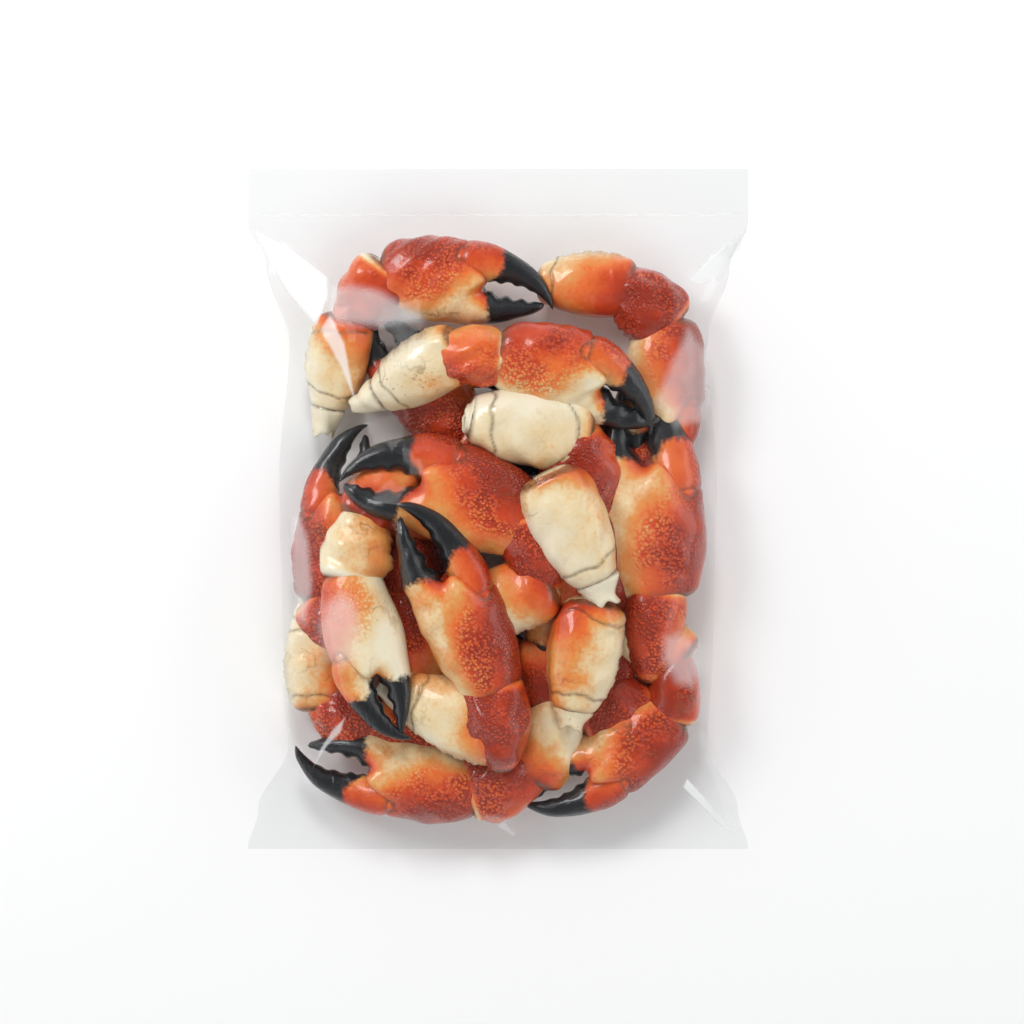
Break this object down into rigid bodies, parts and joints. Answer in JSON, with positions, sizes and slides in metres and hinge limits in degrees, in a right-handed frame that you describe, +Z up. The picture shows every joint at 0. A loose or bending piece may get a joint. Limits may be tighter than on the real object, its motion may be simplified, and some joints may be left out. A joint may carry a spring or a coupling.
{
  "type": "bag of jonah crab claws",
  "caption": "Clear plastic bag of cooked crab claws lying flat, with the claws pressing up under the film between a header seal and a foot seal.",
  "frame": {"origin": "middle of the bag's outline, on the surface that it lies on", "axes": "+Z up from the surface, +Y along the bag towards its header seal, +X across the bag"},
  "size_m": [0.225, 0.306, 0.0567],
  "materials": {
    "claws_in_film": "orange-red and cream crab shell with black finger tips under clear glossy film"
  },
  "bodies": {
    "root": {"bag_of_claws": "claws_in_film"}
  },
  "joints": []
}
